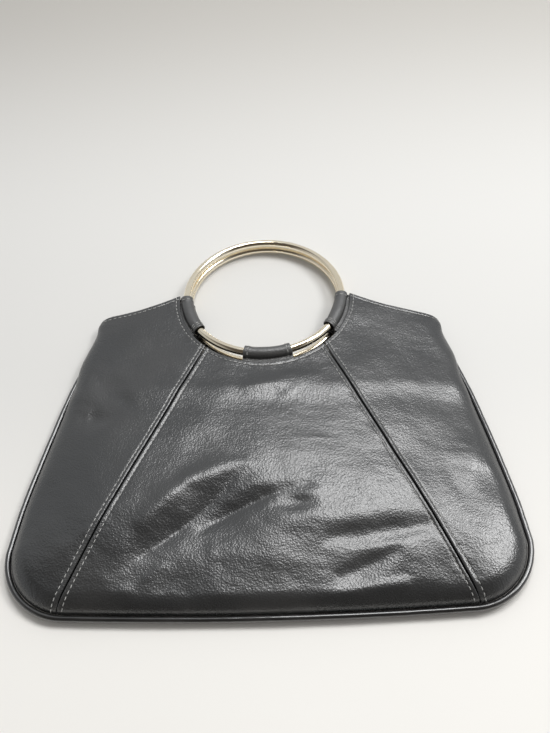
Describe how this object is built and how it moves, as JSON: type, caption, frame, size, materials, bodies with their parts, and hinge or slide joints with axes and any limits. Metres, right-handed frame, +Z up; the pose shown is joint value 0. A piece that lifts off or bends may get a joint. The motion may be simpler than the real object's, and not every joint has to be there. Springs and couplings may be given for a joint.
{
  "type": "ring handle bag",
  "caption": "Soft handbag of black faux leather lying on its back, open along the top, with two round metal handles held in leather sleeves.",
  "frame": {"origin": "on the ground under the middle of the whole bag as it lies on its back", "axes": "+Y up the bag from its bottom edge to the handles, +X to the right as seen from the front, +Z up out of the front"},
  "size_m": [0.335, 0.3186, 0.0243],
  "materials": {
    "black_leather": "glossy fine-grained black faux leather",
    "piping_leather": "glossy black covered cord",
    "sleeve_leather": "the same black faux leather, folded",
    "pale_gold": "polished pale gold plating"
  },
  "bodies": {
    "bag": {"front_center_panel": "black_leather", "front_left_panel": "black_leather", "front_right_panel": "black_leather", "back_center_panel": "black_leather", "back_left_panel": "black_leather", "back_right_panel": "black_leather", "piping": "piping_leather", "front_left_sleeve": "sleeve_leather", "front_center_sleeve": "sleeve_leather", "front_right_sleeve": "sleeve_leather", "back_left_sleeve": "sleeve_leather", "back_center_sleeve": "sleeve_leather", "back_right_sleeve": "sleeve_leather"},
    "front_handle": {"front_ring": "pale_gold"},
    "back_handle": {"back_ring": "pale_gold"}
  },
  "joints": [
    {"name": "front_ring_turn", "type": "hinge", "parent": "bag", "child": "front_handle", "pos_m": [-0.00098, 0.09589, 0.01402], "axis": [0, 0.0537, 0.9986], "continuous": true},
    {"name": "back_ring_turn", "type": "hinge", "parent": "bag", "child": "back_handle", "pos_m": [-0.00048, 0.09589, 0.00458], "axis": [0, 0.0165, 0.9999], "continuous": true}
  ]
}
